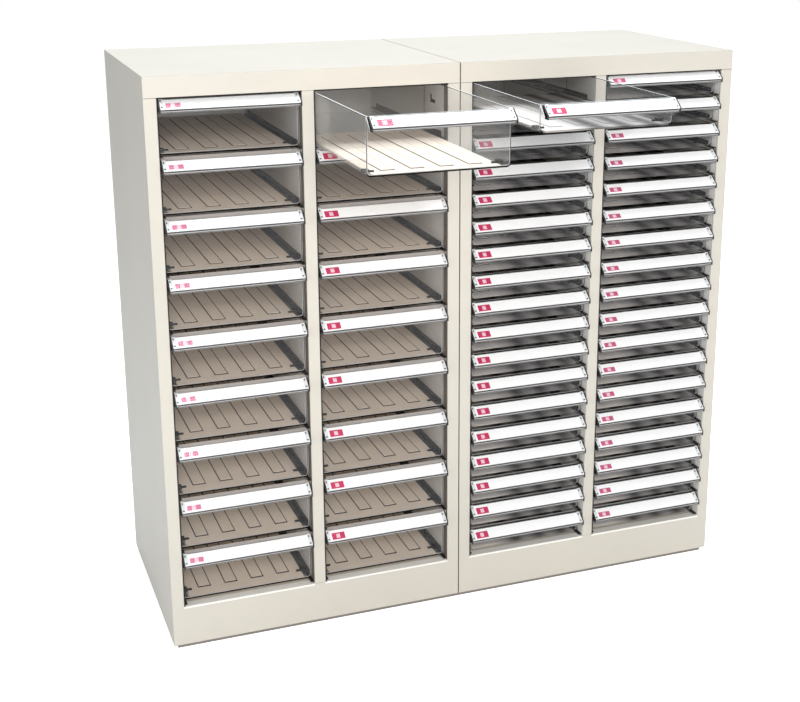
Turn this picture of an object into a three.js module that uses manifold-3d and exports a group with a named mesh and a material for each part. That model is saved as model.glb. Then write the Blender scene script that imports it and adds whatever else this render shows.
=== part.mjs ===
// Drawer cabinet bank: two sheet-steel cabinets side by side, each with two bays of clear
// plastic trays that slide on ledges. The left cabinet has 9 deep rows, the right one 18
// shallow rows. Millimetres, +X to the right, front face towards -Y, +Z up. The origin is
// the bottom centre of the whole bank's bounding box, the two pulled-out trays included.

import * as THREE from "three";
import { mergeVertices } from "three/addons/utils/BufferGeometryUtils.js";
import Module from "manifold-3d";

const wasm = await Module();
wasm.setup();

// Cabinet shell
const UNIT_WIDTH = 540;
const UNIT_GAP = 2;
const UNIT_HEIGHT = 1015;
const UNIT_DEPTH = 426;
const SHEET = 1.2;
const STILE_WIDTH = 21.6;
const CENTRE_STILE_WIDTH = 20.8;
const OPENING_BOTTOM = 82;
const OPENING_TOP = 980;
const RAIL_RETURN = 15;
const REAR_FLANGE = 15;
const BOTTOM_FLANGE = 40;
const LINER_REAR_GAP = 8;
const CLEARANCE = 0.3;

// Plinth frame that the shell stands on
const PLINTH_HEIGHT = 9;
const PLINTH_INSET = 8;
const PLINTH_BAR = 22;

// Runner ledges, one pair per row
const LEDGE_REACH = 6;
const LEDGE_THICKNESS = 1.6;
const LEDGE_LEG = 10;
const LEDGE_TOP = 3.7;
const LEDGE_FRONT = 4;
const LEDGE_REAR_GAP = 20;

// L-shaped slot punched in the right-hand wall of a bay, above the top row's middle
const SLOT_WIDTH = 4.5;
const SLOT_HEIGHT = 13;
const SLOT_FOOT = 21;
const SLOT_RISE = 8;
const SLOT_Y = 64;

// Trays
const TRAY_SIDE_CLEARANCE = 1.6;
const TRAY_WALL = 2.2;
const TRAY_LIFT = 4;
const DEEP_HEADROOM = 4;
const SHALLOW_HEADROOM = 2;
const TRAY_LENGTH = 386;
const TRAY_FRONT = 19;

// Label rail along the top of a tray's front
const RAIL_TOP_Y = 10;
const RAIL_LIP_Y = -8;
const RAIL_DROP = 15;
const LIP_HEIGHT = 4.5;
const GUSSET_HEIGHT = 11;
const RAIL_THICKNESS = 2.4;

// Rows and the two trays that stand open
const LEFT_ROWS = 9;
const RIGHT_ROWS = 18;
const OPEN_PULL = 290;

// Depth from the foremost lip of an open tray to the rear of the shell, centred on Y
const FRONT_REACH = OPEN_PULL - RAIL_LIP_Y;
const FACE_Y = (FRONT_REACH - UNIT_DEPTH) / 2;

const bayWidth = (UNIT_WIDTH - 2 * STILE_WIDTH - CENTRE_STILE_WIDTH) / 2;

const casePaint = new THREE.MeshStandardMaterial({
  name: "case_paint",
  color: 0xe4ddd0,
  roughness: 0.42,
  metalness: 0.0,
});
const clearPlastic = new THREE.MeshStandardMaterial({
  name: "clear_plastic",
  color: 0xd9d7d6,
  roughness: 0.12,
  metalness: 0.0,
  transparent: true,
  opacity: 0.35,
});

function box(x0, x1, y0, y1, z0, z1) {
  const geometry = new THREE.BoxGeometry(x1 - x0, y1 - y0, z1 - z0);
  geometry.translate((x0 + x1) / 2, (y0 + y1) / 2, (z0 + z1) / 2);
  return geometry;
}

// A (y, z) outline carried along X from x0 to x1
function alongX(outline, x0, x1) {
  const shape = new THREE.Shape(outline.map(([y, z]) => new THREE.Vector2(y, z)));
  const geometry = new THREE.ExtrudeGeometry(shape, { depth: x1 - x0, bevelEnabled: false });
  const toYZ = new THREE.Matrix4().makeBasis(
    new THREE.Vector3(0, 1, 0),
    new THREE.Vector3(0, 0, 1),
    new THREE.Vector3(1, 0, 0),
  );
  geometry.applyMatrix4(toYZ);
  geometry.translate(x0, 0, 0);
  return geometry;
}

// An (x, z) outline carried along Y from y0 to y1
function alongY(outline, y0, y1) {
  const shape = new THREE.Shape(outline.map(([x, z]) => new THREE.Vector2(x, z)));
  const geometry = new THREE.ExtrudeGeometry(shape, { depth: y1 - y0, bevelEnabled: false });
  const toXZ = new THREE.Matrix4().makeBasis(
    new THREE.Vector3(1, 0, 0),
    new THREE.Vector3(0, 0, 1),
    new THREE.Vector3(0, -1, 0),
  );
  geometry.applyMatrix4(toXZ);
  geometry.translate(0, y1, 0);
  return geometry;
}

function solid(geometry) {
  geometry.deleteAttribute("normal");
  geometry.deleteAttribute("uv");
  const merged = mergeVertices(geometry, 1e-5);
  return new wasm.Manifold(new wasm.Mesh({
    numProp: 3,
    vertProperties: new Float32Array(merged.attributes.position.array),
    triVerts: new Uint32Array(merged.index.array),
  }));
}

function joined(geometries) {
  return geometries.map(solid).reduce((whole, piece) => whole.add(piece));
}

function cut(whole, geometries) {
  return geometries.map(solid).reduce((rest, piece) => rest.subtract(piece), whole);
}

function mesh(name, manifold, material) {
  const { vertProperties, triVerts } = manifold.getMesh();
  const geometry = new THREE.BufferGeometry();
  geometry.setAttribute("position", new THREE.BufferAttribute(vertProperties, 3));
  geometry.setIndex(new THREE.BufferAttribute(triVerts, 1));
  geometry.computeVertexNormals();
  const result = new THREE.Mesh(geometry, material);
  result.name = name;
  return result;
}

// Angle ledge on a bay wall at x: side +1 reaches towards +X, side -1 towards -X
function ledge(x, side, rowBase) {
  const top = rowBase + LEDGE_TOP;
  const foot = Math.max(top - LEDGE_LEG, OPENING_BOTTOM + CLEARANCE);
  const outline = [
    [x - side * SHEET / 2, foot],
    [x + side * SHEET, foot],
    [x + side * SHEET, top - LEDGE_THICKNESS],
    [x + side * LEDGE_REACH, top - LEDGE_THICKNESS],
    [x + side * LEDGE_REACH, top],
    [x - side * SHEET / 2, top],
  ];
  return alongY(outline, LEDGE_FRONT, UNIT_DEPTH - LEDGE_REAR_GAP);
}

function rowBase(rows, row) {
  return OPENING_TOP - (row + 1) * (OPENING_TOP - OPENING_BOTTOM) / rows;
}

function ledges(x, side, rows) {
  return Array.from({ length: rows }, (_, row) => ledge(x, side, rowBase(rows, row)));
}

// L-shaped slot through the wall at x
function wallSlot(x, rows) {
  const foot = (rowBase(rows, 0) + OPENING_TOP) / 2 + SLOT_RISE;
  const rear = SLOT_Y + SLOT_FOOT;
  const deep = 2 * SHEET;
  return [
    box(x - deep, x + deep, SLOT_Y, rear, foot, foot + SLOT_WIDTH),
    box(x - deep, x + deep, rear - SLOT_WIDTH, rear, foot, foot + SLOT_HEIGHT),
  ];
}

// Welded shell: skins, top, front frame, bay floor, flanges, plinth and the outer bay walls
function carcass(rows) {
  const w = UNIT_WIDTH;
  const d = UNIT_DEPTH;
  const h = UNIT_HEIGHT;
  const linerEnd = d - LINER_REAR_GAP;
  const skirt = PLINTH_HEIGHT;
  const shell = [
    box(0, SHEET, 0, d, skirt, h),
    box(w - SHEET, w, 0, d, skirt, h),
    box(0, w, 0, d, h - SHEET, h),
    box(0, w, 0, SHEET, OPENING_TOP, h),
    box(0, w, 0, SHEET, skirt, OPENING_BOTTOM),
    box(0, STILE_WIDTH, 0, SHEET, skirt, h),
    box(w - STILE_WIDTH, w, 0, SHEET, skirt, h),
    box(STILE_WIDTH - SHEET, STILE_WIDTH, 0, linerEnd, OPENING_BOTTOM - SHEET, h),
    box(w - STILE_WIDTH, w - STILE_WIDTH + SHEET, 0, linerEnd, OPENING_BOTTOM - SHEET, h),
    box(STILE_WIDTH - SHEET, w - STILE_WIDTH + SHEET, 0, RAIL_RETURN, OPENING_TOP, OPENING_TOP + SHEET),
    box(0, w, 0, linerEnd, OPENING_BOTTOM - SHEET, OPENING_BOTTOM),
  ];
  const flanges = [
    box(0, REAR_FLANGE, d - SHEET, d, skirt, h),
    box(w - REAR_FLANGE, w, d - SHEET, d, skirt, h),
    box(0, w, d - SHEET, d, h - REAR_FLANGE, h),
    box(0, w, d - SHEET, d, skirt, skirt + REAR_FLANGE),
    box(0, BOTTOM_FLANGE, 0, d, skirt, skirt + SHEET),
    box(w - BOTTOM_FLANGE, w, 0, d, skirt, skirt + SHEET),
    box(0, w, 0, BOTTOM_FLANGE, skirt, skirt + SHEET),
    box(0, w, d - BOTTOM_FLANGE, d, skirt, skirt + SHEET),
  ];
  const near = PLINTH_INSET;
  const bar = PLINTH_BAR;
  const plinth = [
    box(near, near + bar, near, d - near, 0, skirt + SHEET / 2),
    box(w - near - bar, w - near, near, d - near, 0, skirt + SHEET / 2),
    box(near, w - near, near, near + bar, 0, skirt + SHEET / 2),
    box(near, w - near, d - near - bar, d - near, 0, skirt + SHEET / 2),
  ];
  const whole = joined([
    ...shell,
    ...flanges,
    ...plinth,
    ...ledges(STILE_WIDTH, 1, rows),
    ...ledges(w - STILE_WIDTH, -1, rows),
  ]);
  return cut(whole, wallSlot(w - STILE_WIDTH + SHEET / 2, rows));
}

// Folded channel between the two bays: centre stile in front, a bay wall on each side
function partition(rows) {
  const x0 = (UNIT_WIDTH - CENTRE_STILE_WIDTH) / 2;
  const x1 = x0 + CENTRE_STILE_WIDTH;
  const foot = OPENING_BOTTOM + CLEARANCE;
  const front = OPENING_TOP - CLEARANCE;
  const crown = UNIT_HEIGHT - SHEET - CLEARANCE;
  const behindRail = RAIL_RETURN + CLEARANCE;
  const end = UNIT_DEPTH - LINER_REAR_GAP;
  return joined([
    box(x0, x1, 0, SHEET, foot, front),
    box(x0, x0 + SHEET, 0, end, foot, front),
    box(x1 - SHEET, x1, 0, end, foot, front),
    box(x0, x0 + SHEET, behindRail, end, front - 1, crown),
    box(x1 - SHEET, x1, behindRail, end, front - 1, crown),
    ...ledges(x0, -1, rows),
    ...ledges(x1, 1, rows),
  ]);
}

// Plain sheet hooked in behind the rear flanges
function backPanel() {
  const side = SHEET + 0.5;
  const rear = UNIT_DEPTH - SHEET - CLEARANCE;
  const foot = PLINTH_HEIGHT + SHEET + 0.5;
  return joined([
    box(side, UNIT_WIDTH - side, rear - SHEET, rear, foot, UNIT_HEIGHT - SHEET - 0.5),
  ]);
}

// One moulded tray, x centred on 0, z from its own floor, y from the cabinet's front face
function tray(rows, headroom) {
  const half = bayWidth / 2 - TRAY_SIDE_CLEARANCE;
  const pitch = (OPENING_TOP - OPENING_BOTTOM) / rows;
  const h = pitch - TRAY_LIFT - headroom;
  const rear = TRAY_FRONT + TRAY_LENGTH;
  const lipTop = h - RAIL_DROP;
  const lipFoot = lipTop - LIP_HEIGHT;
  const side = [
    [TRAY_FRONT, 0],
    [rear, 0],
    [rear, h],
    [RAIL_TOP_Y, h],
    [RAIL_LIP_Y, lipTop],
    [RAIL_LIP_Y, lipFoot],
    [TRAY_FRONT, lipFoot - GUSSET_HEIGHT],
  ];
  const rail = [
    [TRAY_FRONT, 0],
    [TRAY_FRONT + TRAY_WALL, 0],
    [TRAY_FRONT + TRAY_WALL, h],
    [RAIL_TOP_Y, h],
    [RAIL_LIP_Y, lipTop],
    [RAIL_LIP_Y, lipFoot],
    [RAIL_LIP_Y + RAIL_THICKNESS, lipFoot],
    [RAIL_LIP_Y + RAIL_THICKNESS, lipTop - RAIL_THICKNESS / 2],
    [TRAY_FRONT, h - RAIL_THICKNESS - 1],
  ];
  return joined([
    box(-half, half, TRAY_FRONT, rear, 0, TRAY_WALL),
    box(-half, half, rear - TRAY_WALL, rear, 0, h),
    alongX(side, -half, -half + TRAY_WALL),
    alongX(side, half - TRAY_WALL, half),
    alongX(rail, -half, half),
  ]);
}

function twoDigits(number) {
  return String(number).padStart(2, "0");
}

// A cabinet with its two columns of trays, its left front edge at the group's origin
function cabinet(side, rows, headroom, openColumn) {
  const group = new THREE.Group();
  group.add(mesh(`${side}_carcass`, carcass(rows), casePaint));
  group.add(mesh(`${side}_partition`, partition(rows), casePaint));
  group.add(mesh(`${side}_back_panel`, backPanel(), casePaint));
  const shape = tray(rows, headroom);
  for (let column = 1; column <= 2; column += 1) {
    const bayStart = STILE_WIDTH + (column - 1) * (bayWidth + CENTRE_STILE_WIDTH);
    for (let row = 0; row < rows; row += 1) {
      const name = `${side}_col${column}_tray_${twoDigits(row + 1)}`;
      const piece = mesh(name, shape, clearPlastic);
      const pull = column === openColumn && row === 0 ? OPEN_PULL : 0;
      piece.position.set(bayStart + bayWidth / 2, -pull, rowBase(rows, row) + TRAY_LIFT);
      group.add(piece);
    }
  }
  return group;
}

const bank = new THREE.Group();
const leftCabinet = cabinet("left", LEFT_ROWS, DEEP_HEADROOM, 2);
leftCabinet.position.set(-UNIT_WIDTH - UNIT_GAP / 2, FACE_Y, 0);
bank.add(leftCabinet);
const rightCabinet = cabinet("right", RIGHT_ROWS, SHALLOW_HEADROOM, 1);
rightCabinet.position.set(UNIT_GAP / 2, FACE_Y, 0);
bank.add(rightCabinet);

export default bank;
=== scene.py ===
"""Visual model of the drawer cabinet bank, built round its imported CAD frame.

Metres, +X right, fronts towards -Y, +Z up. Every place comes from the CAD nodes' boxes.
"""
import math

import bmesh
import bpy
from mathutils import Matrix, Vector


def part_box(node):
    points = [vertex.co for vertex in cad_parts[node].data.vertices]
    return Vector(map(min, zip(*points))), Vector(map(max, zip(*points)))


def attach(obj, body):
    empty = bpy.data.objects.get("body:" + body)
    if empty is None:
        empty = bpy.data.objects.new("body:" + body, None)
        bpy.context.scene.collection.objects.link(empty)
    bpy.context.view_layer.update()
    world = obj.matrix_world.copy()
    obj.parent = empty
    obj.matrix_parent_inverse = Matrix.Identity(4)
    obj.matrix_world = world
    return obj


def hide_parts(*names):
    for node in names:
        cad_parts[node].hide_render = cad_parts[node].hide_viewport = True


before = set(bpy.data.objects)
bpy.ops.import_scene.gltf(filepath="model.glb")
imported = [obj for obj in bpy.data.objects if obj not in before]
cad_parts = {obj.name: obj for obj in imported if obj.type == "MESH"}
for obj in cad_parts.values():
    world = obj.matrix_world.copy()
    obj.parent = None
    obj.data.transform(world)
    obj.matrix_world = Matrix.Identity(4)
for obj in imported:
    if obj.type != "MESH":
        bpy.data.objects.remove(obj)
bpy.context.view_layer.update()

MM = 0.001

# ---------------------------------------------------------------- dimensions, millimetres
TOUCH = 0.1             # how close two faces have to be to count as one
GAP = 0.1               # clearance of a drawn strip from the steel round it

# Tray and label rail.
LIP_REACH = 27.0        # front panel behind the lip's face
RAIL_TOP_BACK = 18.0    # top edge of the label rail behind it
RAIL_DROP = 15.0        # from the rail's top edge down to the lip's upper corner
LIP_HEIGHT = 4.5
LIP_BACK = 0.4          # the lip's eased edges: this far back
LIP_EASE = 0.5          # and this far up or down
LIP_CORNER = 0.2        # from its top and foot to the fine lines
LIP_LINE = 1.1          # painted shade, fine dark lines along the top and foot of the lip
RAIL_THICK = 2.4
RAIL_UNDER = 1.0        # its underside is this much lower at the front panel
RAIL_END_RADIUS = 9.0
RAIL_END_STEPS = 5      # of the rounded end
RAIL_SHADE_STEPS = 2     # of them, from the end, have a dark face: painted shade
GUSSET_HEIGHT = 11.0    # side wall's forward corner, below the lip
GUSSET_TIP = 4.95       # behind the lip's face
GUSSET_LEAN = 1.5
GUSSET_UNDER = 2.0      # below the rail at the front panel
WALL = 2.2
FOOT_RADIUS = 6.0       # where the side walls meet the floor
FOOT_STEPS = 4
RIM_BAND = 1.3          # end bands of the side walls, painted highlight at the front and painted shade at the rear
RIM_LINE = 1.1          # painted shade, a dark line under the walls' top edge
FRONT_SIDE_LINE = 1.0   # painted shade, a dark outline of the front panel, at its sides
FRONT_FOOT_LINE = 2.6   # and along its foot
FRONT_BRIGHT_LINE = 1.3     # painted highlight, a bright line inside it
CLEAR_EDGE = 12.0       # clear margin of the floor along each side wall

# Floor pads, and the painted shade and light on a shallow tray's floor.
PAD_COUNT = 4
PAD_WIDTH = 24.0
PAD_PITCH = 48.5
PAD_HEIGHT = 0.8
PAD_FRONT = 31.0        # behind the front panel
PAD_REAR = 26.0         # before the back wall
GROOVE_SIDE = 1.9       # groove round each pad, dark with painted shade, along its sides
GROOVE_END = 4.5        # and across its ends
GROOVE_RISE = (0.05, 0.2)   # its outer and inner edge above the floor
PALE_FROM = -62.0       # a shallow floor is pale and plain left of this, from the centre: painted light
PALE_TO = -22.0         # and striped with painted shade right of this

# On the rail's sloping face. ENDS lie inside the tray's side, LIFT is out of the face.
CARD_END = 8.0
CARD_TOP = 0.8
CARD_FOOT = 0.9
CARD_LIFT = (0.05, 0.5)
TAB_ENDS = (12.0, 36.0)
TAB_LIFT = (0.55, 0.9)
WINDOW_ENDS = (20.0, 27.0)
WINDOW_LIFT = (0.85, 0.98)
COVER_TOP = 0.2
COVER_FOOT = 0.1
COVER_LIFT = (1.0, 1.5)
CLIP_ENDS = (2.4, 8.5)
CLIP_LIFT = (0.05, 2.2)
CLIP_SLOT_LIFT = (2.0, 2.4)
CLIP_SLOT_IN = 1.2      # from the clip's left edge
UPPER_SLOT = (1.8, 3.0, 7.0)    # width, and its two ends below the rail's top edge
LOWER_SLOT = (3.0, 5.4, 3.0)    # width, and its two ends above the slope's foot
# Painted shade: a dark block closes each end of the rail.
END_SHADE_ENDS = (0.2, 2.4)
END_SHADE_LIFT = (0.05, 2.4)
END_SHADE_LIP = (-0.6, 1.2)   # its part round the lip: before and behind the lip's face,
END_SHADE_BELOW = 0.2         # below the lip
END_SHADE_ABOVE = 1.4         # and above it

# Stops on the tray's floor and runners on the bay walls.
STOP_BACK = 26.0        # behind the front panel
STOP_GAP = 0.3
STOP_FOOT = (18.0, 0.0, 4.0, 2.8)   # length inwards, front, rear, top above the floor
STOP_BLOCK = (10.0, -3.0, 9.0, 4.8)
BAY_HALF = 119.0
RUNNER_FRONT = 32.0     # behind the case's face
RUNNER_REAR = 392.0
RUNNER_TREAD = 11.5
RUNNER_RISE = 8.5
RUNNER_THICK = 0.7
RUNNER_FOOT = 0.28      # below the tray
LEDGE_INNER = 117.5     # a ledge's upright leg lies outside this half width

# Openings of the case.
CASE_OPENING_TOP = 980.0
CASE_OPENING_BOTTOM = 82.5
CASE_STILE = 21.6
FACE_DEPTH = 2.0        # what lies before this belongs to the front
SHADE_LINE_DEPTH = 9.0        # painted shade, a dark strip down the left side of an opening
SHADE_LINE_TOP_DEPTH = 2.5    # and over its top
SHADE_LINE_THICK = 1.45
SHADE_LINE_LAP = 0.7          # onto the case's face
SHADE_LINE_PROUD = 0.2        # before that face
SHADE_LINE_SIDE_GAP = 0.05
RIGHT_SHADE_FRONT = 1.6       # painted shade, a brown-grey strip down the right side of a deep opening
RIGHT_SHADE_DEPTH = 19.0
RIGHT_SHADE_THICK = 0.5
RIGHT_SHADE_FOOT = 1.0        # above the opening's foot
RIGHT_SHADE_TOP = 2.0         # below its top
SILL_DROP = 0.5         # the sill lies this far below the opening's foot
SILL_THICK = 0.6
SILL_LIGHT_DEPTH = 17.0       # painted light, a bright strip along the sill
SILL_EDGE_HIGHLIGHT = 3.0         # painted highlight, a bright edge line below it, on the case's face
SILL_PROUD = 0.5
FACE_SKIN = 0.3         # depth of what lies on the case's face
STRIP_END = 0.5         # painted shade, a strip between two rows: gap at each bay wall
STRIP_BACK = (0.6, 1.4)     # behind the top edge of the rails
STRIP_FOOT = 0.4        # above the lower tray
STRIP_TOP_LOW = 2.4     # its top over a shallow tray
STRIP_TOP_DEEP = 6.8    # and over a deep one
HAIRLINE = 0.35         # half height of the joint at the top of an outer stile
HAIRLINE_PROUD = 0.12
HAIRLINE_END = 0.4      # from the cabinet's corner
SLOT_FRONT = 63.0       # painted shade, a dark block in the L-shaped wall slot: behind the case's face
SLOT_LENGTH = 23.0
SLOT_RISE = 7.2         # its foot above the middle of the top row
SLOT_HEIGHT = 14.6
SLOT_ARM = 6.0
SLOT_SHADE_SPAN = (-0.3, 0.9)     # before and behind the bay wall's face

# Plinth, and what fills the gap between the cabinets.
PLINTH_TOP = 9.7        # upright faces below this belong to the plinth
PLINTH_INSET = 8.0
PACKING_DEPTH = 20.0    # packing piece between the two plinths
PACKING_GAP = 0.2
PACKING_TOP = 8.9
SEAM_FOOT = 10.7        # painted shade, a dark strip above it
SEAM_DEPTH = 3.0        # set in from the cabinets' faces


# ---------------------------------------------------------------- materials
def srgb(r, g, b):
    """A screen colour, 0 to 255, as the linear colour a shader takes."""
    def linear(c):
        c /= 255.0
        return c / 12.92 if c <= 0.04045 else ((c + 0.055) / 1.055) ** 2.4
    return (linear(r), linear(g), linear(b), 1.0)


def new_material(name):
    material = bpy.data.materials.new(name)
    material.use_nodes = True
    tree = material.node_tree
    tree.nodes.clear()
    out = tree.nodes.new("ShaderNodeOutputMaterial")
    return material, tree, out


def node(tree, kind, inputs=None, **props):
    """A shader node with its own properties and its sockets' values set."""
    made = tree.nodes.new(kind)
    for key, value in props.items():
        setattr(made, key, value)
    for key, value in (inputs or {}).items():
        made.inputs[key].default_value = value
    return made


def link(tree, source, target):
    tree.links.new(source, target)


def noise_ramp(tree, scale, low, high, detail=3.0):
    """A colour that wanders between two values in object space, and the noise behind it."""
    where = node(tree, "ShaderNodeTexCoord")
    noise = node(tree, "ShaderNodeTexNoise", {"Scale": scale, "Detail": detail})
    link(tree, where.outputs["Object"], noise.inputs["Vector"])
    ramp = node(tree, "ShaderNodeValToRGB")
    for element, position, colour in zip(ramp.color_ramp.elements, (0.35, 0.65), (low, high)):
        element.position = position
        element.color = colour
    link(tree, noise.outputs["Fac"], ramp.inputs["Fac"])
    return ramp.outputs["Color"], noise.outputs["Fac"]


def bump(tree, height, strength, distance, edge_radius=None):
    """Fine relief from a height; with an edge radius, sharp edges catch the light as well."""
    made = node(tree, "ShaderNodeBump", {"Strength": strength, "Distance": distance})
    link(tree, height, made.inputs["Height"])
    if edge_radius:
        bevel = node(tree, "ShaderNodeBevel", {"Radius": edge_radius}, samples=4)
        link(tree, bevel.outputs["Normal"], made.inputs["Normal"])
    return made.outputs["Normal"]


def painted_steel(name, colour, edge_radius=None):
    """Powder-coated sheet: faint mottle in the colour, fine orange peel in the surface."""
    material, tree, out = new_material(name)
    shader = node(tree, "ShaderNodeBsdfPrincipled", {"Roughness": 0.42,
                                                    "Specular IOR Level": 0.45})
    low = tuple(c * 0.97 for c in colour[:3]) + (1.0,)
    tint, _ = noise_ramp(tree, 6.0, low, colour)
    link(tree, tint, shader.inputs["Base Color"])
    _, grain = noise_ramp(tree, 900.0, low, colour, detail=2.0)
    link(tree, bump(tree, grain, 0.12, 0.0004, edge_radius), shader.inputs["Normal"])
    link(tree, shader.outputs["BSDF"], out.inputs["Surface"])
    return material


def plastic(name, colour, roughness, mottle=0.96, scale=40.0):
    """Opaque moulded plastic or card; mottle is how far the colour darkens in places."""
    material, tree, out = new_material(name)
    shader = node(tree, "ShaderNodeBsdfPrincipled", {"Roughness": roughness})
    low = tuple(c * mottle for c in colour[:3]) + (1.0,)
    tint, _ = noise_ramp(tree, scale, low, colour)
    link(tree, tint, shader.inputs["Base Color"])
    _, peel = noise_ramp(tree, 500.0, low, colour, detail=2.0)
    link(tree, bump(tree, peel, 0.08, 0.0003), shader.inputs["Normal"])
    link(tree, shader.outputs["BSDF"], out.inputs["Surface"])
    return material


def stripes(tree, where, low, high, pale):
    """Soft stripes along Y that keep step with the floor pads, as painted shade; pale takes over
    on the left as painted light. A wave texture of scale 1 has one stripe to 2 pi / 20 units."""
    wave = node(tree, "ShaderNodeTexWave", {"Scale": 2 * math.pi / (20 * PAD_PITCH * MM),
                                            "Phase Offset": math.pi / 2},
                bands_direction="X")
    link(tree, where.outputs["Object"], wave.inputs["Vector"])
    ramp = node(tree, "ShaderNodeValToRGB")
    ramp.color_ramp.elements[0].color = low
    ramp.color_ramp.elements[1].color = high
    link(tree, wave.outputs["Fac"], ramp.inputs["Fac"])
    across = node(tree, "ShaderNodeSeparateXYZ")
    link(tree, where.outputs["Object"], across.inputs["Vector"])
    striped = node(tree, "ShaderNodeMapRange", {"From Min": PALE_FROM * MM,
                                                "From Max": PALE_TO * MM},
                   interpolation_type="SMOOTHSTEP")
    link(tree, across.outputs["X"], striped.inputs["Value"])
    blend = node(tree, "ShaderNodeMixRGB", {"Color1": pale})
    link(tree, striped.outputs["Result"], blend.inputs["Fac"])
    link(tree, ramp.outputs["Color"], blend.inputs["Color2"])
    return blend.outputs["Color"]


def clear_sheet(name, tint, haze, haze_colour, gloss=1.0, bands=None, pale=None):
    """Thin clear plastic: light passes straight through with a tint, a share is scattered as
    haze, and the gloss grows towards grazing angles alike from both sides. With bands, a
    second haze colour, the haze is striped with painted shade, and pale paints light on the left."""
    material, tree, out = new_material(name)
    through = node(tree, "ShaderNodeBsdfTransparent", {"Color": tint})
    body = node(tree, "ShaderNodeBsdfDiffuse", {"Color": haze_colour})
    where = node(tree, "ShaderNodeTexCoord")
    noise = node(tree, "ShaderNodeTexNoise", {"Scale": 14.0, "Detail": 3.0})
    link(tree, where.outputs["Object"], noise.inputs["Vector"])
    if bands:
        link(tree, stripes(tree, where, bands, haze_colour, pale), body.inputs["Color"])
    spread = node(tree, "ShaderNodeMapRange", {"To Min": haze * 0.85, "To Max": haze * 1.15})
    link(tree, noise.outputs["Fac"], spread.inputs["Value"])
    mix = node(tree, "ShaderNodeMixShader")
    link(tree, spread.outputs["Result"], mix.inputs["Fac"])
    link(tree, through.outputs["BSDF"], mix.inputs[1])
    link(tree, body.outputs["BSDF"], mix.inputs[2])
    shine = node(tree, "ShaderNodeBsdfGlossy", {"Roughness": 0.05})
    facing = node(tree, "ShaderNodeLayerWeight", {"Blend": 0.5})
    power = node(tree, "ShaderNodeMath", {1: 5.0}, operation="POWER")
    link(tree, facing.outputs["Facing"], power.inputs[0])
    scale = node(tree, "ShaderNodeMath", {1: 0.9 * gloss, 2: 0.035 * gloss},
                 operation="MULTIPLY_ADD")
    link(tree, power.outputs["Value"], scale.inputs[0])
    final = node(tree, "ShaderNodeMixShader")
    link(tree, scale.outputs["Value"], final.inputs["Fac"])
    link(tree, mix.outputs["Shader"], final.inputs[1])
    link(tree, shine.outputs["BSDF"], final.inputs[2])
    link(tree, final.outputs["Shader"], out.inputs["Surface"])
    return material


PAINT = painted_steel("case_paint_cream", srgb(204, 198, 188), edge_radius=0.0012)
# Lighter copies of the cream paint for the back panel and the bay walls: painted light.
PAINT_BACK_LIT = painted_steel("case_paint_back_panel_painted_light", srgb(222, 219, 217))
PAINT_BAY_LIT = painted_steel("case_paint_bay_wall_painted_light", srgb(234, 231, 226))
# A lighter copy of the cream paint for the sill: painted light.
SILL_PAINTED_LIGHT = painted_steel("case_paint_sill_painted_light", srgb(240, 237, 231))
PLINTH = painted_steel("plinth_grey", srgb(132, 126, 121))
PANEL = clear_sheet("tray_front_clear", (0.99, 0.99, 0.995, 1), 0.008, srgb(225, 226, 236), 0.4)
CLEAR = clear_sheet("tray_wall_clear", (0.98, 0.98, 0.98, 1), 0.06, srgb(234, 234, 232), 0.4)
FLOOR = clear_sheet("deep_floor_frosted", (0.9, 0.87, 0.84, 1), 0.88, srgb(248, 234, 218), 0.15)
# Near-black grooves round the floor pads: painted shade.
GROOVE = clear_sheet("deep_floor_groove_painted_shade", (0.2, 0.19, 0.18, 1), 0.9, srgb(76, 66, 60), 0.1)
# Shallow floor: a darker copy of the frosted floor with stripes of painted shade, paler on the
# left with painted light.
FLOOR_LOW = clear_sheet("shallow_floor_frosted_painted_shade_and_light", (0.8, 0.8, 0.8, 1), 0.9, srgb(184, 180, 178),
                        0.15, bands=srgb(108, 104, 103), pale=srgb(242, 236, 231))
# Grooves round a shallow floor's pads: painted shade.
GROOVE_LOW = clear_sheet("shallow_floor_groove_painted_shade", (0.3, 0.3, 0.3, 1), 0.9,
                         srgb(150, 146, 145), 0.1)
# Bright edges of the clear plastic: painted highlight.
RIM = clear_sheet("tray_edge_painted_highlight", (1, 1, 1, 1), 0.85, srgb(252, 252, 254), 0.5)
# Dark edges and outlines of the clear plastic: painted shade.
EDGE = clear_sheet("tray_edge_painted_shade", (0.1, 0.1, 0.1, 1), 0.94, srgb(24, 21, 20), 0.1)
LIP = clear_sheet("label_rail_plastic", (0.97, 0.97, 0.98, 1), 0.75, srgb(180, 179, 179))
# Dark lines at the folds of the lip: painted shade.
LINE = clear_sheet("label_rail_fold_painted_shade", (0.4, 0.4, 0.4, 1), 0.92, srgb(60, 57, 56), 0.3)
CARD = plastic("label_card_white", srgb(253, 253, 254), 0.6, mottle=0.99)
COVER = clear_sheet("label_cover_clear", (1, 1, 1, 1), 0.005, srgb(245, 245, 250), 0.3)
CLIP = clear_sheet("label_clip_clear", (0.97, 0.97, 0.98, 1), 0.75, srgb(244, 245, 248), 0.6)
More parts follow.
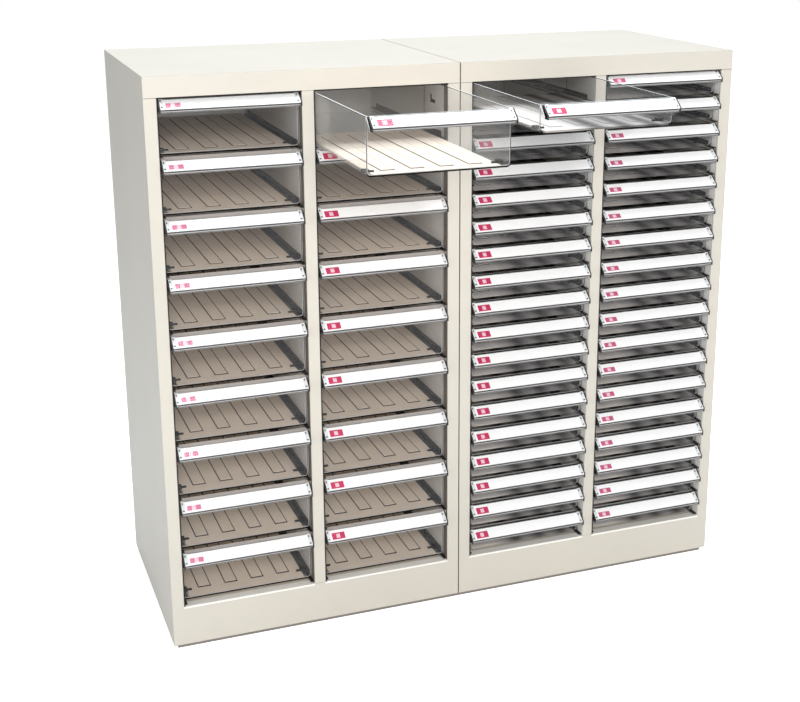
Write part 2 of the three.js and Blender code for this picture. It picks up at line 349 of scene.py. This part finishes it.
# Dark slots of the clips, and dark blocks of painted shade at the rail's ends.
DARK = plastic("clip_slot_and_end_painted_shade", srgb(30, 28, 28), 0.5)
TAB_RED = plastic("index_tab_red", srgb(206, 42, 96), 0.35, mottle=0.86, scale=90.0)
TAB_ROSE = plastic("index_tab_rose", srgb(212, 92, 134), 0.4, mottle=0.8, scale=90.0)
TAB_PINK = plastic("index_tab_pink", srgb(222, 124, 158), 0.4, mottle=0.84, scale=90.0)
TAB_PALE = plastic("index_tab_window", srgb(240, 206, 218), 0.4, mottle=0.94, scale=90.0)
RUNNER = plastic("runner_black_plastic", srgb(26, 23, 21), 0.5)
STOP = plastic("stop_black_plastic", srgb(26, 24, 23), 0.45)
SEAM = plastic("stile_seam_shadow", srgb(92, 84, 77), 0.7)
# Black strips at the openings, in the gap between the cabinets, in the wall slots and between
# shallow rows: painted shade.
BLACK = plastic("painted_shade_black", srgb(9, 8, 8), 0.75)
# A brown-grey strip down the right of each deep opening: painted shade.
RIGHT_SHADE_BROWN = plastic("painted_shade_brown_grey", srgb(106, 97, 88), 0.6)
# Grey strip in the gap between deep rows: painted shade.
ROW_GAP_SHADE = clear_sheet("row_gap_painted_shade_grey", (0.5, 0.49, 0.48, 1), 0.85, srgb(160, 153, 149), 0.3)


# ---------------------------------------------------------------- mesh tools
class Build:
    """Collects vertices in millimetres and faces with a material index."""

    def __init__(self, *materials):
        self.verts, self.faces, self.index, self.smooth = [], [], [], []
        self.materials = materials

    def vert(self, x, y, z):
        self.verts.append((x * MM, y * MM, z * MM))
        return len(self.verts) - 1

    def face(self, ids, slot=0, smooth=False):
        self.faces.append(ids)
        self.index.append(slot)
        self.smooth.append(smooth)

    def ring(self, points, z):
        return [self.vert(x, y, z) for x, y in points]

    def bridge(self, a, b, slot=0):
        count = len(a)
        for i in range(count):
            j = (i + 1) % count
            self.face((a[i], a[j], b[j], b[i]), slot)

    def prism(self, outline, x0, x1, slot=0):
        """A (y, z) outline, anticlockwise seen from +X, carried from x0 to x1."""
        low = [self.vert(x0, y, z) for y, z in outline]
        high = [self.vert(x1, y, z) for y, z in outline]
        self.bridge(low, high, slot)
        self.face(tuple(reversed(low)), slot)
        self.face(tuple(high), slot)

    def block(self, x0, x1, y0, y1, z0, z1, slot=0):
        self.prism([(y0, z0), (y1, z0), (y1, z1), (y0, z1)], x0, x1, slot)

    def mesh(self, name):
        data = bpy.data.meshes.new(name)
        data.from_pydata(self.verts, [], self.faces)
        for material in self.materials:
            data.materials.append(material)
        data.polygons.foreach_set("material_index", self.index)
        data.polygons.foreach_set("use_smooth", self.smooth)
        outward = bmesh.new()
        outward.from_mesh(data)
        bmesh.ops.recalc_face_normals(outward, faces=outward.faces)
        outward.to_mesh(data)
        outward.free()
        return data


def place(name, data, location, body):
    """Puts a mesh into the scene as a piece that rides on a body."""
    piece = bpy.data.objects.new(name, data)
    bpy.context.scene.collection.objects.link(piece)
    piece.location = location
    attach(piece, body)
    return piece


# ---------------------------------------------------------------- one tray, local frame
# x centred, y from the lip's face backwards, z from the tray's underside
def u_section(half, floor, top, radius, edge_x):
    """Cross-section: down the left wall, round its foot, over the floor, up the right wall."""
    foot = []
    for k in range(FOOT_STEPS + 1):
        a = math.radians(90.0 * k / FOOT_STEPS)
        foot.append((half - radius * (1 - math.cos(a)), floor + radius * (1 - math.sin(a))))
    right = foot[::-1] + [(half, top - RIM_LINE), (half, top)]
    left = [(-x, z) for x, z in reversed(right)]
    return left + [(-edge_x, floor), (edge_x, floor)] + right


# Slots of a tray's materials, in the order in which tray_mesh lists them.
SIDE, BASE, SHADED_FURROW, PAINTED_HIGHLIGHT, RAIL, FRONT, PAINTED_SHADE_EDGE, SHADED_FOLD = range(8)


def tray_mesh(name, half, length, height, floor, groove, foot_line):
    """Tray shell, floor pads and label rail. foot_line is the slot of the front's lower edge, on
    a deep tray its painted shade.
    """
    b = Build(CLEAR, floor, groove, RIM, LIP, PANEL, EDGE, LINE)
    front, rear = LIP_REACH, length
    edge_x = half - CLEAR_EDGE
    outer = u_section(half, 0, height, FOOT_RADIUS, edge_x)
    inner = u_section(half - WALL, WALL, height, FOOT_RADIUS - WALL, edge_x)
    borders = []
    for line in (0, FRONT_BRIGHT_LINE):
        inset = FRONT_SIDE_LINE + line
        borders.append(u_section(half - inset, FRONT_FOOT_LINE + line, height,
                                 FOOT_RADIUS - inset, edge_x))
    last = len(outer) - 2
    middle = last // 2

    def ring(section, y):
        return [b.vert(x, y, z) for x, z in section]

    def skin(near, far, walls=SIDE):
        """Lengthwise faces between two rings; walls is the slot of the two side walls."""
        for i in range(last + 1):
            rim, wall = i in (0, last), i in (1, last - 1)
            slot = PAINTED_SHADE_EDGE if rim else walls if wall else BASE if i == middle else SIDE
            b.face((near[i], near[i + 1], far[i + 1], far[i]), slot,
                   not (rim or wall) and abs(i - middle) > 1)

    outside = [ring(outer, y) for y in (front, front + RIM_BAND, rear - RIM_BAND, rear)]
    # Front band of the side walls in painted highlight, rear band in painted shade.
    for k, walls in enumerate((PAINTED_HIGHLIGHT, SIDE, PAINTED_SHADE_EDGE)):
        skin(outside[k], outside[k + 1], walls)
    near, far = ring(inner, front + WALL), ring(inner, rear - WALL)
    skin(near, far)
    edge = outside[0]
    dark, bright = (ring(border, front) for border in borders)
    # Round the front: a dark outline of painted shade, and inside it a bright line of painted
    # highlight.
    for i in range(last + 1):
        at_foot = abs(i - middle) < 2
        b.face((edge[i], edge[i + 1], dark[i + 1], dark[i]), foot_line if at_foot else PAINTED_SHADE_EDGE)
        inside = RAIL if foot_line == PAINTED_SHADE_EDGE or i > middle + 1 else SIDE
        b.face((dark[i], dark[i + 1], bright[i + 1], bright[i]), inside)
    b.face(tuple(bright), FRONT)
    b.face(tuple(near), FRONT)
    b.face(tuple(far), SIDE)
    b.face(tuple(outside[-1]), SIDE)
    # Top faces of the walls in painted highlight.
    for end in (0, -1):
        line = [r[end] for r in outside]
        b.face(tuple(line + [far[end], near[end]]), PAINTED_HIGHLIGHT)
    b.face((edge[0], dark[0], bright[0], bright[-1], dark[-1], edge[-1], near[-1], near[0]),
           PAINTED_HIGHLIGHT)
    b.face((outside[-1][0], outside[-1][-1], far[-1], far[0]), PAINTED_HIGHLIGHT)
    floor_pads(b, front, rear)
    label_rail(b, half, height)
    return b.mesh(name)


def floor_pads(b, front, rear):
    """Long flat pads raised from the floor, each with a groove round it that is dark with painted
    shade.
    """
    for k in range(PAD_COUNT):
        centre = (k - (PAD_COUNT - 1) / 2) * PAD_PITCH
        x0, x1 = centre - PAD_WIDTH / 2, centre + PAD_WIDTH / 2
        y0, y1 = front + PAD_FRONT, rear - PAD_REAR
        s, e = GROOVE_SIDE, GROOVE_END
        outer = [(x0, y0), (x1, y0), (x1, y1), (x0, y1)]
        inner = [(x0 + s, y0 + e), (x1 - s, y0 + e), (x1 - s, y1 - e), (x0 + s, y1 - e)]
        base = b.ring(outer, WALL + GROOVE_RISE[0])
        lip = b.ring(inner, WALL + GROOVE_RISE[1])
        pad = b.ring(inner, WALL + PAD_HEIGHT)
        b.face(tuple(base), BASE)
        b.bridge(base, lip, SHADED_FURROW)
        b.bridge(lip, pad, BASE)
        b.face(tuple(pad), BASE)


def rail_outline(height, reach):
    """Label rail section; reach 1 is the full lip, less draws it in at the rounded ends."""
    lip_top = height - RAIL_DROP
    lip_foot = lip_top - LIP_HEIGHT
    section = [
        (LIP_REACH, height),
        (RAIL_TOP_BACK, height),
        (LIP_BACK, lip_top + LIP_EASE),
        (0.0, lip_top - LIP_CORNER),
        (0.0, lip_top - LIP_CORNER - LIP_LINE),
        (0.0, lip_foot + LIP_CORNER + LIP_LINE),
        (0.0, lip_foot + LIP_EASE),
        (LIP_BACK, lip_foot),
        (RAIL_THICK - LIP_BACK, lip_foot),
        (RAIL_THICK, lip_foot + LIP_EASE),
        (RAIL_THICK, lip_top - RAIL_THICK / 2),
        (LIP_REACH, height - RAIL_THICK - RAIL_UNDER),
    ]
    return [(LIP_REACH - (LIP_REACH - y) * reach, z) for y, z in section]


def label_rail(b, half, height):
    """The sloping rail with its lip, drawn in at both ends, and the gussets under it."""
    stations = []
    for k in range(RAIL_END_STEPS + 1):
        a = math.radians(90.0 * k / RAIL_END_STEPS)
        x = half - RAIL_END_RADIUS + RAIL_END_RADIUS * math.sin(a)
        stations.append((x, 1 - (1 - math.cos(a)) * RAIL_END_RADIUS / LIP_REACH))
    line = [(-x, r) for x, r in reversed(stations)] + stations
    loops = [[b.vert(x, y, z) for y, z in rail_outline(height, r)] for x, r in line]
    count = len(loops[0])
    # The lip's folds, faces 2, 3 and 5, are dark lines of painted shade.
    lip_faces, folds = range(1, 7), (2, 3, 5)
    for n, (low, high) in enumerate(zip(loops, loops[1:])):
        # Near each rounded end the lip's faces are dark with painted shade.
        at_end = min(n, len(loops) - 2 - n) < RAIL_SHADE_STEPS
        for i in range(count):
            j = (i + 1) % count
            slot = PAINTED_SHADE_EDGE if at_end and i in lip_faces else SHADED_FOLD if i in folds else RAIL
            b.face((low[i], high[i], high[j], low[j]), slot)
    # End faces of the rail in painted highlight.
    b.face(tuple(loops[0]), PAINTED_HIGHLIGHT)
    b.face(tuple(loops[-1]), PAINTED_HIGHLIGHT)
    gussets(b, half, height)


def gussets(b, half, height):
    """The side walls' forward corners, which close the ends under the lip."""
    lip_foot = height - RAIL_DROP - LIP_HEIGHT
    outline = [
        (GUSSET_TIP, lip_foot),
        (GUSSET_TIP + GUSSET_LEAN, height - RAIL_DROP),
        (LIP_REACH, height - RAIL_THICK - GUSSET_UNDER),
        (LIP_REACH, lip_foot - GUSSET_HEIGHT),
    ]
    for x0, x1 in ((-half, -half + WALL), (half - WALL, half)):
        b.prism(outline, x0, x1, SIDE)


def slope_frame(height):
    """Start, direction and normal of the rail's sloping face, from its top edge down."""
    top = Vector((0, RAIL_TOP_BACK, height))
    foot = Vector((0, LIP_BACK, height - RAIL_DROP + LIP_EASE))
    along = foot - top
    length = along.length
    along.normalize()
    normal = Vector((0, along.z, -along.y))
    if normal.z < 0:
        normal = -normal
    return top, along, normal, length


def slope_block(b, height, x0, x1, s0, s1, lift, slot=0):
    """A block on the sloping face, from s0 down to s1; lift is its two heights out of it."""
    top, along, normal, _ = slope_frame(height)
    corners = [(s0, lift[1]), (s1, lift[1]), (s1, lift[0]), (s0, lift[0])]
    places = [top + along * s + normal * n for s, n in corners]
    b.prism([(at.y, at.z) for at in places], x0, x1, slot)


def card_mesh(name, half, height):
    b = Build(CARD)
    length = slope_frame(height)[3]
    slope_block(b, height, CARD_END - half, half - CARD_END, CARD_TOP, length - CARD_FOOT,
                CARD_LIFT)
    return b.mesh(name)


def tab_mesh(name, half, height, material, s0, s1, window):
    """Index tab from s0 down to s1 on the sloping face; window is what its pale middle cuts off
    the top and the foot."""
    b = Build(material, TAB_PALE)
    x0, x1 = (end - half for end in TAB_ENDS)
    slope_block(b, height, x0, x1, s0, s1, TAB_LIFT)
    x0, x1 = (end - half for end in WINDOW_ENDS)
    slope_block(b, height, x0, x1, s0 + window, s1 - window, WINDOW_LIFT, 1)
    return b.mesh(name)


def cover_mesh(name, half, height):
    """Clear cover over the card, its two end clips, their dark slots, and dark blocks of painted
    shade at the rail's ends.
    """
    b = Build(COVER, CLIP, DARK)
    length = slope_frame(height)[3]
    slope_block(b, height, CARD_END - half, half - CARD_END, COVER_TOP, length - COVER_FOOT,
                COVER_LIFT)
    lip_top = height - RAIL_DROP
    for side in (-1, 1):
        x0, x1 = sorted(side * (half - end) for end in CLIP_ENDS)
        slope_block(b, height, x0, x1, 0.0, length, CLIP_LIFT, 1)
        x0 += CLIP_SLOT_IN
        width, s0, s1 = UPPER_SLOT
        slope_block(b, height, x0, x0 + width, s0, s1, CLIP_SLOT_LIFT, 2)
        width, s0, s1 = LOWER_SLOT
        slope_block(b, height, x0, x0 + width, length - s0, length - s1, CLIP_SLOT_LIFT, 2)
        # Painted shade: a dark block at the end of the rail.
        x0, x1 = sorted(side * (half - end) for end in END_SHADE_ENDS)
        slope_block(b, height, x0, x1, 0.0, length, END_SHADE_LIFT, 2)
        b.block(x0, x1, *END_SHADE_LIP, lip_top - LIP_HEIGHT - END_SHADE_BELOW, lip_top + END_SHADE_ABOVE, 2)
    return b.mesh(name)


def stop_mesh(name, half):
    """A black stop at each front corner, with a foot that lies inwards along the floor."""
    b = Build(STOP)
    at = LIP_REACH + STOP_BACK
    for side in (-1, 1):
        wall = side * (half - WALL - STOP_GAP)
        for reach, y0, y1, top in (STOP_FOOT, STOP_BLOCK):
            x0, x1 = sorted((wall, wall - side * reach))
            b.block(x0, x1, at + y0, at + y1, WALL + STOP_GAP, WALL + top)
    return b.mesh(name)


# ---------------------------------------------------------------- trays in the bank
# Index tabs: material, top and foot on the sloping face, what the window cuts off at both.
TABS = {"red": (TAB_RED, 6.4, 19.4, 2.6),
        "rose": (TAB_ROSE, 9.0, 18.8, 1.6),
        "pink": (TAB_PINK, 9.4, 18.6, 0.0)}
TAB_COLOURS = {"left_col1": "pink", "right_col2": "rose"}


def dress_trays():
    """A fine shell, label and stops in place of each tray's plain solid."""
    shared = {}
    for name in sorted(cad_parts):
        if "_tray_" not in name:
            continue
        low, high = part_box(name)
        half = (high.x - low.x) / 2 / MM
        length = (high.y - low.y) / MM
        height = (high.z - low.z) / MM
        kind = "deep" if name.startswith("left") else "shallow"
        if kind not in shared:
            finish = ((FLOOR, GROOVE, PAINTED_SHADE_EDGE) if kind == "deep"
                      else (FLOOR_LOW, GROOVE_LOW, SIDE))
            shared[kind] = {
                "tray": tray_mesh(kind + "_tray", half, length, height, *finish),
                "card": card_mesh(kind + "_card", half, height),
                "cover": cover_mesh(kind + "_cover", half, height),
                "stop": stop_mesh(kind + "_stops", half),
            }
            for colour, shape in TABS.items():
                shared[kind][colour] = tab_mesh(kind + "_tab_" + colour, half, height, *shape)
        at = Vector(((low.x + high.x) / 2, low.y, low.z))
        meshes = shared[kind]
        tray = place(name + "_shell", meshes["tray"], at, name)
        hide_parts(name)
        place(name + "_label_card", meshes["card"], at, name)
        place(name + "_label_cover", meshes["cover"], at, name)
        colour = TAB_COLOURS.get(name.split("_tray_")[0], "red")
        place(name + "_index_tab", meshes[colour], at, name)
        place(name + "_stops", meshes["stop"], at, name)


CASE, FOOT, BAY_WALL, LEDGE = range(4)


def dress_case():
    """Paint for the steel parts; the plinth and ledges have their own finish, and the bay walls
    and back panel lighter copies of the paint, painted light.
    """
    centres = {}
    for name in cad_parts:
        if "_tray_" in name:
            low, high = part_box(name)
            centres[name.split("_tray_")[0]] = (low.x + high.x) / 2 / MM
    for name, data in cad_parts.items():
        if "_tray_" in name:
            continue
        mesh = data.data
        mesh.materials.clear()
        if name.endswith("back_panel"):
            mesh.materials.append(PAINT_BACK_LIT)
            continue
        for material in (PAINT, PLINTH, PAINT_BAY_LIT, RUNNER):
            mesh.materials.append(material)
        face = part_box(name)[0].y / MM
        side = name.split("_")[0]
        bays = [x for column, x in centres.items() if column.startswith(side)]
        for polygon in mesh.polygons:
            polygon.material_index = case_finish(mesh, polygon, bays, face)


def case_finish(mesh, polygon, bays, face):
    """Slot of one face of the case; bays are the centres of its two bays, face its front."""
    at = polygon.center / MM
    if at.z < PLINTH_TOP and abs(polygon.normal.z) < 0.5:
        if min(mesh.vertices[i].co.z for i in polygon.vertices) < TOUCH * MM:
            return FOOT
    off = min(abs(at.x - x) for x in bays)
    if not CASE_OPENING_BOTTOM < at.z < CASE_OPENING_TOP or at.y < face + FACE_DEPTH:
        return CASE
    if off < BAY_HALF - TOUCH and (abs(polygon.normal.x) < 0.5 or off < LEDGE_INNER):
        return LEDGE
    return BAY_WALL if abs(off - BAY_HALF) < TOUCH else CASE


def seam_marks():
    """Hairline joints where the outer stiles meet the top rail, one for each outer stile."""
    for side in ("left", "right"):
        low, high = (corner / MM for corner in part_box(side + "_carcass"))
        b = Build(SEAM)
        for x0, x1 in ((low.x, low.x + CASE_STILE), (high.x - CASE_STILE, high.x)):
            b.block(x0 + HAIRLINE_END, x1, low.y - HAIRLINE_PROUD, low.y + FACE_SKIN,
                    CASE_OPENING_TOP - HAIRLINE, CASE_OPENING_TOP + HAIRLINE)
        place(side + "_stile_seams", b.mesh(side + "_stile_seams"), (0, 0, 0), "case")


def slot_shade_blocks():
    """Painted shade: a black L-shaped block in the slot of each cabinet's right-hand bay wall."""
    for side in ("left", "right"):
        low, high = (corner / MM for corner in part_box(side + "_carcass"))
        lower_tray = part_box(side + "_col2_tray_02")[0].z / MM
        upper_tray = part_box(side + "_col2_tray_01")[0].z / MM
        foot = CASE_OPENING_TOP - (upper_tray - lower_tray) / 2 + SLOT_RISE
        x0, x1 = (high.x - CASE_STILE + end for end in SLOT_SHADE_SPAN)
        front, rear = low.y + SLOT_FRONT, low.y + SLOT_FRONT + SLOT_LENGTH
        b = Build(BLACK)
        # Painted shade in the slot's hollow.
        b.block(x0, x1, front, rear, foot, foot + SLOT_ARM)
        b.block(x0, x1, rear - SLOT_ARM, rear, foot + SLOT_ARM, foot + SLOT_HEIGHT)
        place(side + "_slot_painted_shade", b.mesh(side + "_slot_painted_shade"), (0, 0, 0), "case")


def cabinet_gap_shade_and_packing():
    """Painted shade: a dark strip in the gap between the cabinets, set in from their front, top
    and rear; and a packing piece that carries the plinth's front across."""
    left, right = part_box("left_carcass"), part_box("right_carcass")
    x0, x1 = left[1].x / MM, right[0].x / MM
    face = left[0].y / MM
    b = Build(BLACK, PLINTH)
    reach, front = PLINTH_INSET - PACKING_GAP, face + PLINTH_INSET
    b.block(x0 - reach, x1 + reach, front, front + PACKING_DEPTH, GAP, PACKING_TOP, 1)
    # Painted shade: the dark strip in the gap.
    b.block(x0 + GAP, x1 - GAP, face + SEAM_DEPTH, left[1].y / MM - SEAM_DEPTH,
            SEAM_FOOT, left[1].z / MM - SEAM_DEPTH)
    place("cabinet_gap_shade_and_packing", b.mesh("cabinet_gap_shade_and_packing"), (0, 0, 0), "case")


def runner(b, wall, way, face, foot):
    """L-shaped runner on a bay wall under a tray; way is +1 at a right-hand wall."""
    for reach, top in ((RUNNER_TREAD, -GAP), (RUNNER_THICK, RUNNER_RISE)):
        x0, x1 = sorted((wall - way * GAP, wall - way * reach))
        b.block(x0, x1, face + RUNNER_FRONT, face + RUNNER_REAR, foot - RUNNER_FOOT, foot + top)


def opening_painted_shade(b, sill, x0, x1, face, shaded_right):
    """Black strips of painted shade down the left and over the top of an opening, for a deep one
    a brown-grey strip of painted shade down the right, and painted light along the sill as a
    bright strip and edge line."""
    top, foot = CASE_OPENING_TOP, CASE_OPENING_BOTTOM - SILL_DROP
    skin, proud = face + FACE_SKIN, face - SHADE_LINE_PROUD
    left, lap = x0 + SHADE_LINE_THICK, x0 - SHADE_LINE_LAP
    # Painted shade: black strips down the left side and over the top of the opening.
    b.block(x0 + SHADE_LINE_SIDE_GAP, left, skin, face + SHADE_LINE_DEPTH, foot + GAP, top - GAP)
    b.block(lap, left, proud, skin, foot, top)
    b.block(left, x1 - GAP, skin, face + SHADE_LINE_TOP_DEPTH, top - SHADE_LINE_THICK, top - GAP)
    b.block(lap, x1, proud, skin, top - SHADE_LINE_THICK, top + SHADE_LINE_LAP)
    # Painted shade: a brown-grey strip down the right side of a deep opening.
    if shaded_right:
        b.block(x1 - RIGHT_SHADE_THICK, x1 - GAP, face + RIGHT_SHADE_FRONT, face + RIGHT_SHADE_DEPTH,
                foot + RIGHT_SHADE_FOOT, top - RIGHT_SHADE_TOP, 1)
    # Painted light along the sill: a bright strip on it and a bright edge line below it.
    sill.block(left, x1 - SILL_THICK, skin, face + SILL_LIGHT_DEPTH, foot + GAP, foot + SILL_THICK)
    sill.block(lap, x1, face - SILL_PROUD, skin, foot - SILL_EDGE_HIGHLIGHT, foot + SILL_THICK)


def bay_fittings():
    """In every bay: runners under each tray, a strip of painted shade between the rows, and the
    painted shade and painted light round the opening."""
    for side in ("left", "right"):
        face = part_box(side + "_carcass")[0].y / MM
        runners, shade_pieces, sills = Build(RUNNER), Build(BLACK, RIGHT_SHADE_BROWN), Build(SILL_PAINTED_LIGHT)
        # Painted shade in the gaps between rows: grey over deep trays, black over shallow ones.
        strips = Build(ROW_GAP_SHADE if side == "left" else BLACK)
        rise = STRIP_TOP_DEEP if side == "left" else STRIP_TOP_LOW
        for column in ("col1", "col2"):
            trays = [n for n in sorted(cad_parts) if n.startswith(side + "_" + column)]
            low, high = (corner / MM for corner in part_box(trays[-1]))
            centre, shut = (low.x + high.x) / 2, low.y + RAIL_TOP_BACK
            for name in trays:
                low, high = (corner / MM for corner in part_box(name))
                if name != trays[0]:
                    reach = BAY_HALF - STRIP_END
                    y0, y1 = (shut + back for back in STRIP_BACK)
                    strips.block(centre - reach, centre + reach, y0, y1,
                                 high.z + STRIP_FOOT, high.z + rise)
                for way in (-1, 1):
                    runner(runners, centre + way * BAY_HALF, way, face, low.z)
            opening_painted_shade(shade_pieces, sills, centre - BAY_HALF, centre + BAY_HALF, face,
                          side == "left")
        for label, build, slot in (("bay_runners", runners, "runner_black"),
                                   ("row_gap_shade_strips", strips, "runner_black"),
                                   ("opening_painted_shade", shade_pieces, "runner_black"),
                                   ("sill_highlight_strips", sills, "case_paint")):
            name = side + "_" + label
            place(name, build.mesh(name), (0, 0, 0), "case")


dress_case()
seam_marks()
slot_shade_blocks()
cabinet_gap_shade_and_packing()
bay_fittings()
dress_trays()


# ---------------------------------------------------------------- floor, light and camera
def studio():
    """White floor and world, both duller to everything but the camera."""
    scene = bpy.context.scene
    scene.view_settings.view_transform = "Standard"
    scene.cycles.use_denoising = True
    scene.cycles.transparent_max_bounces = 48
    scene.cycles.max_bounces = 12
    scene.cycles.sample_clamp_indirect = 4.0
    floor_data = bpy.data.meshes.new("studio_floor")
    reach = 12.0
    floor_data.from_pydata([(-reach, -reach, 0), (reach, -reach, 0), (reach, reach, 0),
                            (-reach, reach, 0)], [], [(0, 1, 2, 3)])
    material, tree, out = new_material("studio_floor_white")
    shader = node(tree, "ShaderNodeBsdfDiffuse", {"Color": (0.92, 0.92, 0.92, 1)})
    glow = node(tree, "ShaderNodeEmission", {"Color": (1, 1, 1, 1), "Strength": 0.72})
    add = node(tree, "ShaderNodeAddShader")
    link(tree, shader.outputs["BSDF"], add.inputs[0])
    link(tree, glow.outputs["Emission"], add.inputs[1])
    dull = node(tree, "ShaderNodeBsdfDiffuse", {"Color": (0.74, 0.75, 0.76, 1)})
    path = node(tree, "ShaderNodeLightPath")
    mix = node(tree, "ShaderNodeMixShader")
    link(tree, path.outputs["Is Camera Ray"], mix.inputs["Fac"])
    link(tree, dull.outputs["BSDF"], mix.inputs[1])
    link(tree, add.outputs["Shader"], mix.inputs[2])
    link(tree, mix.outputs["Shader"], out.inputs["Surface"])
    floor_data.materials.append(material)
    floor = bpy.data.objects.new("studio_floor", floor_data)
    floor.location.z = -0.0005
    scene.collection.objects.link(floor)

    world = bpy.data.worlds.new("studio_world")
    scene.world = world
    world.use_nodes = True
    tree = world.node_tree
    tree.nodes.clear()
    out = tree.nodes.new("ShaderNodeOutputWorld")
    light = node(tree, "ShaderNodeBackground", {"Color": (0.96, 0.985, 1.0, 1), "Strength": 0.42})
    seen = node(tree, "ShaderNodeBackground", {"Color": (1, 1, 1, 1), "Strength": 1.0})
    path = node(tree, "ShaderNodeLightPath")
    mix = node(tree, "ShaderNodeMixShader")
    link(tree, path.outputs["Is Camera Ray"], mix.inputs["Fac"])
    link(tree, light.outputs["Background"], mix.inputs[1])
    link(tree, seen.outputs["Background"], mix.inputs[2])
    link(tree, mix.outputs["Shader"], out.inputs["Surface"])


def area_light(name, location, target, size, power, colour):
    """A soft lamp at location that faces target; size in metres, power in watts."""
    data = bpy.data.lights.new(name, "AREA")
    data.shape = "RECTANGLE"
    data.size, data.size_y = size
    data.energy = power
    data.color = colour
    lamp = bpy.data.objects.new(name, data)
    lamp.location = location
    aim = Vector(target) - Vector(location)
    lamp.rotation_mode = "QUATERNION"
    lamp.rotation_quaternion = aim.to_track_quat("-Z", "Y")
    bpy.context.scene.collection.objects.link(lamp)


def camera():
    """Standing in front and to the left, looking slightly down."""
    azimuth, elevation = math.radians(20.98), math.radians(15.62)
    distance, lens = 2.514, 61.94
    target = Vector((-0.013, 0.0, 0.615))
    ahead = Vector((math.sin(azimuth) * math.cos(elevation),
                    math.cos(azimuth) * math.cos(elevation),
                    -math.sin(elevation)))
    data = bpy.data.cameras.new("camera")
    data.lens = lens
    data.shift_x, data.shift_y = -0.05, -0.09
    made = bpy.data.objects.new("camera", data)
    made.location = target - ahead * distance
    made.rotation_mode = "QUATERNION"
    made.rotation_quaternion = ahead.to_track_quat("-Z", "Y")
    bpy.context.scene.collection.objects.link(made)
    bpy.context.scene.camera = made


studio()
area_light("key", (-0.5, -4.1, 2.0), (-0.1, 0, 0.45), (3.0, 2.0), 150, (1.0, 0.985, 0.95))
area_light("top", (0.0, 0.4, 3.6), (0, 0.2, 1.0), (2.5, 2.5), 117, (0.9, 0.96, 1.0))
area_light("left_fill", (-4.0, -1.2, 0.6), (-0.5, 0, 0.25), (2.0, 2.0), 38, (0.93, 0.97, 1.0))
camera()
